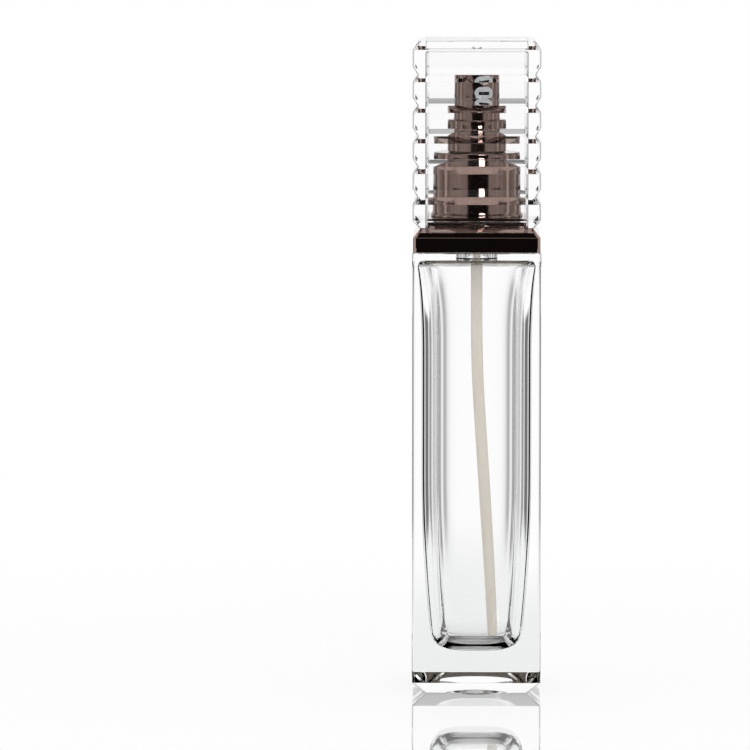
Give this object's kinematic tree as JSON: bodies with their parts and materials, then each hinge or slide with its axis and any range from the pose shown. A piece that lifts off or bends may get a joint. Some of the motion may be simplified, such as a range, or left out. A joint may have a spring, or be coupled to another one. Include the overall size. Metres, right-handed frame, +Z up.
{
  "type": "aftershave bottle",
  "caption": "Tall square clear glass spray bottle with a heavy base, a gunmetal screw-on pump and collar, and a clear ribbed square cap.",
  "frame": {"origin": "centre of the base on the surface that the bottle stands on", "axes": "+Z up along the bottle, front towards -Y with the nozzle turned 18.5 degrees from it towards +X, dip tube bending towards +X"},
  "size_m": [0.033, 0.033, 0.1675],
  "materials": {
    "clear_glass": "polished clear glass, faintly green in the thick base",
    "clear_acrylic": "polished clear moulded acrylic",
    "gunmetal_plating": "mirror-bright warm gunmetal plating",
    "white_nozzle": "glossy white",
    "white_plastic": "natural white moulded plastic",
    "translucent_tube": "translucent cream tube",
    "gasket_foam": "soft white seal",
    "steel": "bright stainless steel"
  },
  "bodies": {
    "bottle": {"glass_bottle": "clear_glass", "collar_plate": "gunmetal_plating"},
    "cap": {"cap": "clear_acrylic"},
    "pump": {"neck_gasket": "gasket_foam", "pump_housing": "white_plastic", "return_spring": "steel", "stem_gasket": "gasket_foam", "stem_guide": "white_plastic", "turret_sleeve": "gunmetal_plating", "dip_tube": "translucent_tube"},
    "closure": {"ferrule": "gunmetal_plating", "threaded_liner": "white_plastic"},
    "plunger": {"piston": "white_plastic", "valve_plunger": "white_plastic"},
    "actuator": {"stem": "white_plastic", "actuator_core": "white_plastic", "actuator_shell": "gunmetal_plating", "nozzle_insert": "white_nozzle"},
    "inlet_ball": {"inlet_ball": "steel"}
  },
  "joints": [
    {"name": "cap_lift", "type": "slide", "parent": "bottle", "child": "cap", "axis": [0, 0, 1], "range_m": [0, 0.05]},
    {"name": "pump_lift", "type": "slide", "parent": "bottle", "child": "pump", "axis": [0, 0, 1], "range_m": [0, 0.00476]},
    {"name": "closure_turn", "type": "hinge", "parent": "pump", "child": "closure", "pos_m": [0, 0, 0.13], "axis": [0, 0, 1], "range_deg": [0, 540.01]},
    {"name": "actuator_press", "type": "slide", "parent": "pump", "child": "plunger", "axis": [0, 0, -1], "range_m": [0, 0.005], "stiffness_N_per_m": 1500, "springref_m": -0.003, "deforming": ["return_spring"]},
    {"name": "actuator_turn", "type": "hinge", "parent": "plunger", "child": "actuator", "pos_m": [0, 0, 0.15], "axis": [0, 0, 1], "continuous": true},
    {"name": "inlet_ball_lift", "type": "slide", "parent": "pump", "child": "inlet_ball", "axis": [0, 0, 1], "range_m": [0, 0.0008]}
  ],
  "couplings": [
    {"joint": "closure_turn", "follows": "pump_lift", "rad_per_m": 1979}
  ]
}
